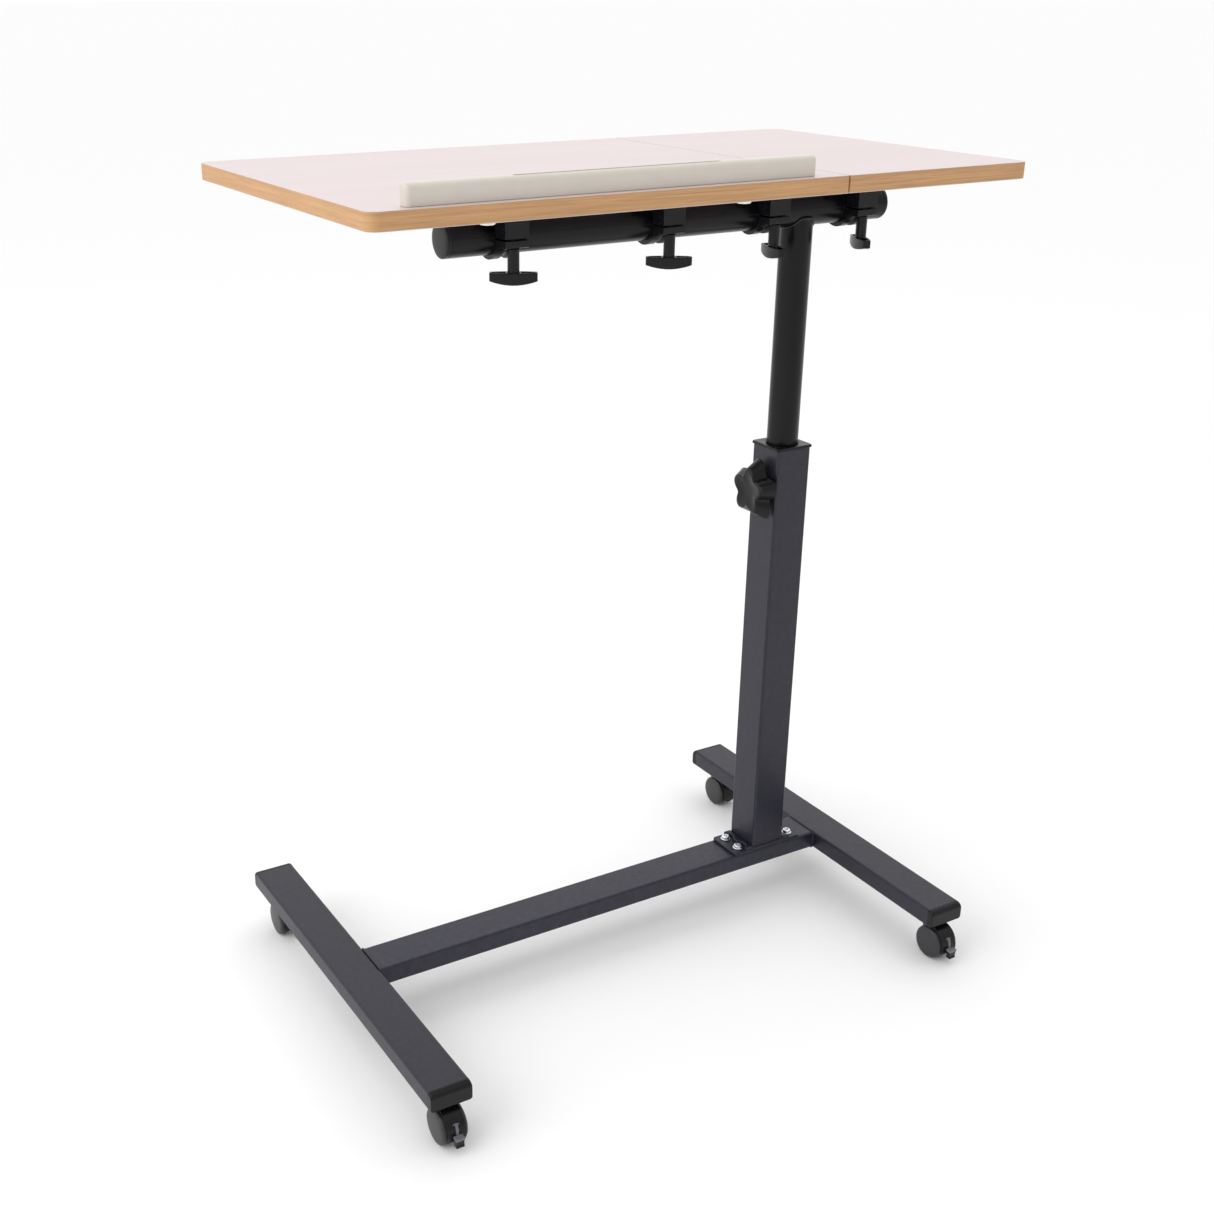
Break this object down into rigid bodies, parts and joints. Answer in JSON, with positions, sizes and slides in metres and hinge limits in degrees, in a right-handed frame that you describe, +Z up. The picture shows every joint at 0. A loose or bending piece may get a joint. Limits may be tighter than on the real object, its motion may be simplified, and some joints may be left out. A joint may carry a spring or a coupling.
{
  "type": "overbed table",
  "caption": "Castored overbed table: H-shaped base, knob-clamped height post, and two laminate panels that tilt on a round crossbar, one with a slotted book stop.",
  "frame": {"origin": "on the floor, at the middle of the whole footprint", "axes": "+X along the crossbar towards the side panel, +Y away from the book stop, +Z up"},
  "size_m": [0.7086, 0.4972, 0.9153],
  "materials": {
    "powder_coat": "satin black powder coat",
    "black_plastic": "matt moulded black",
    "zinc_plate": "bright zinc plate",
    "plain_steel": "plain turned steel",
    "laminate": "pale wood-grain laminate, semi-gloss",
    "edge_band": "beech-coloured edge band with fine grain",
    "stop_plastic": "warm beige satin",
    "white_plastic": "white satin",
    "wheel_plastic": "dark grey satin tread and cover",
    "grey_plastic": "mid-grey satin"
  },
  "bodies": {
    "base": {"left_foot_tube": "powder_coat", "right_foot_tube": "powder_coat", "base_beam": "powder_coat", "column_base_plate": "powder_coat", "column_tube": "powder_coat", "column_top_bush": "black_plastic", "knob_weld_nut": "powder_coat", "foot_end_cap_left_near": "black_plastic", "foot_end_cap_left_far": "black_plastic", "foot_end_cap_right_near": "black_plastic", "foot_end_cap_right_far": "black_plastic", "plate_screw_1": "zinc_plate", "plate_screw_2": "zinc_plate", "plate_screw_3": "zinc_plate", "plate_screw_4": "zinc_plate", "castor_stem_left_near": "plain_steel", "castor_stem_left_far": "plain_steel", "castor_stem_right_near": "plain_steel", "castor_stem_right_far": "plain_steel"},
    "glide": {"post_glide": "black_plastic"},
    "mast": {"inner_post": "powder_coat", "crossbar_tube": "powder_coat", "crossbar_cap_left": "black_plastic", "crossbar_cap_right": "black_plastic"},
    "main_top": {"main_panel": "laminate", "main_edge_band": "edge_band", "book_stop": "stop_plastic", "stop_cap_left": "white_plastic", "stop_cap_right": "white_plastic", "tube_clamp_1": "black_plastic", "tube_clamp_2": "black_plastic"},
    "side_top": {"side_panel": "laminate", "side_edge_band": "edge_band", "tube_clamp_3": "black_plastic", "tube_clamp_4": "black_plastic"},
    "pressure_pad": {"knob_pressure_pad": "black_plastic"},
    "knob": {"star_knob": "black_plastic", "knob_stud": "plain_steel"},
    "wing_1": {"wing_screw_1": "black_plastic"},
    "wing_2": {"wing_screw_2": "black_plastic"},
    "wing_3": {"wing_screw_3": "black_plastic"},
    "wing_4": {"wing_screw_4": "black_plastic"},
    "castor_left_near": {"castor_hood_left_near": "black_plastic", "castor_axle_left_near": "plain_steel"},
    "wheel_left_near_left": {"castor_wheel_left_near_left": "wheel_plastic"},
    "wheel_left_near_right": {"castor_wheel_left_near_right": "wheel_plastic"},
    "castor_left_far": {"castor_hood_left_far": "black_plastic", "castor_axle_left_far": "plain_steel"},
    "wheel_left_far_left": {"castor_wheel_left_far_left": "wheel_plastic"},
    "wheel_left_far_right": {"castor_wheel_left_far_right": "wheel_plastic"},
    "brake_left": {"brake_lever_left": "grey_plastic"},
    "castor_right_near": {"castor_hood_right_near": "black_plastic", "castor_axle_right_near": "plain_steel"},
    "wheel_right_near_left": {"castor_wheel_right_near_left": "wheel_plastic"},
    "wheel_right_near_right": {"castor_wheel_right_near_right": "wheel_plastic"},
    "castor_right_far": {"castor_hood_right_far": "black_plastic", "castor_axle_right_far": "plain_steel"},
    "wheel_right_far_left": {"castor_wheel_right_far_left": "wheel_plastic"},
    "wheel_right_far_right": {"castor_wheel_right_far_right": "wheel_plastic"},
    "brake_right": {"brake_lever_right": "grey_plastic"}
  },
  "joints": [
    {"name": "height_slide", "type": "slide", "parent": "base", "child": "glide", "axis": [0, 0, 1], "range_m": [-0.22, 0.05]},
    {"name": "post_swivel", "type": "hinge", "parent": "glide", "child": "mast", "pos_m": [0.23125, 0.0086, 0.33], "axis": [0, 0, 1], "continuous": true},
    {"name": "main_panel_tilt", "type": "hinge", "parent": "mast", "child": "main_top", "pos_m": [-0.0405, 0.0086, 0.8368], "axis": [1, 0, 0], "range_deg": [-30, 60]},
    {"name": "side_panel_tilt", "type": "hinge", "parent": "mast", "child": "side_top", "pos_m": [0.23825, 0.0086, 0.8368], "axis": [1, 0, 0], "range_deg": [-30, 60]},
    {"name": "wing_screw_1_turn", "type": "hinge", "parent": "main_top", "child": "wing_1", "pos_m": [-0.12955, -0.0194, 0.829], "axis": [0, 0, 1], "range_deg": [-360, 45]},
    {"name": "wing_screw_2_turn", "type": "hinge", "parent": "main_top", "child": "wing_2", "pos_m": [0.04855, -0.0194, 0.829], "axis": [0, 0, 1], "range_deg": [-360, 45]},
    {"name": "wing_screw_3_turn", "type": "hinge", "parent": "side_top", "child": "wing_3", "pos_m": [0.17965, -0.0194, 0.829], "axis": [0, 0, 1], "range_deg": [-360, 45]},
    {"name": "wing_screw_4_turn", "type": "hinge", "parent": "side_top", "child": "wing_4", "pos_m": [0.29685, -0.0194, 0.829], "axis": [0, 0, 1], "range_deg": [-360, 45]},
    {"name": "pad_press", "type": "slide", "parent": "base", "child": "pressure_pad", "axis": [1, 0, 0], "range_m": [-0.00124, 0.00031]},
    {"name": "knob_turn", "type": "hinge", "parent": "pressure_pad", "child": "knob", "pos_m": [0.20125, 0.0086, 0.532], "axis": [1, 0, 0], "range_deg": [-360, 90]},
    {"name": "castor_left_near_swivel", "type": "hinge", "parent": "base", "child": "castor_left_near", "pos_m": [-0.32085, -0.2054, 0.04], "axis": [0, 0, 1], "continuous": true},
    {"name": "wheel_left_near_left_spin", "type": "hinge", "parent": "castor_left_near", "child": "wheel_left_near_left", "pos_m": [-0.33085, -0.2189, 0.02], "axis": [1, 0, 0], "continuous": true},
    {"name": "wheel_left_near_right_spin", "type": "hinge", "parent": "castor_left_near", "child": "wheel_left_near_right", "pos_m": [-0.31085, -0.2189, 0.02], "axis": [1, 0, 0], "continuous": true},
    {"name": "castor_left_far_swivel", "type": "hinge", "parent": "base", "child": "castor_left_far", "pos_m": [-0.32085, 0.2226, 0.04], "axis": [0, 0, 1], "continuous": true},
    {"name": "wheel_left_far_left_spin", "type": "hinge", "parent": "castor_left_far", "child": "wheel_left_far_left", "pos_m": [-0.33085, 0.2091, 0.02], "axis": [1, 0, 0], "continuous": true},
    {"name": "wheel_left_far_right_spin", "type": "hinge", "parent": "castor_left_far", "child": "wheel_left_far_right", "pos_m": [-0.31085, 0.2091, 0.02], "axis": [1, 0, 0], "continuous": true},
    {"name": "brake_left_lift", "type": "hinge", "parent": "castor_left_near", "child": "brake_left", "pos_m": [-0.32085, -0.23761, 0.0308], "axis": [-1, 0, 0], "range_deg": [0, 14]},
    {"name": "castor_right_near_swivel", "type": "hinge", "parent": "base", "child": "castor_right_near", "pos_m": [0.32675, -0.2054, 0.04], "axis": [0, 0, 1], "continuous": true},
    {"name": "wheel_right_near_left_spin", "type": "hinge", "parent": "castor_right_near", "child": "wheel_right_near_left", "pos_m": [0.31675, -0.2189, 0.02], "axis": [1, 0, 0], "continuous": true},
    {"name": "wheel_right_near_right_spin", "type": "hinge", "parent": "castor_right_near", "child": "wheel_right_near_right", "pos_m": [0.33675, -0.2189, 0.02], "axis": [1, 0, 0], "continuous": true},
    {"name": "castor_right_far_swivel", "type": "hinge", "parent": "base", "child": "castor_right_far", "pos_m": [0.32675, 0.2226, 0.04], "axis": [0, 0, 1], "continuous": true},
    {"name": "wheel_right_far_left_spin", "type": "hinge", "parent": "castor_right_far", "child": "wheel_right_far_left", "pos_m": [0.31675, 0.2091, 0.02], "axis": [1, 0, 0], "continuous": true},
    {"name": "wheel_right_far_right_spin", "type": "hinge", "parent": "castor_right_far", "child": "wheel_right_far_right", "pos_m": [0.33675, 0.2091, 0.02], "axis": [1, 0, 0], "continuous": true},
    {"name": "brake_right_lift", "type": "hinge", "parent": "castor_right_near", "child": "brake_right", "pos_m": [0.32675, -0.23761, 0.0308], "axis": [-1, 0, 0], "range_deg": [0, 14]}
  ],
  "couplings": [
    {"joint": "knob_turn", "follows": "pad_press", "rad_per_m": 5026.5}
  ]
}
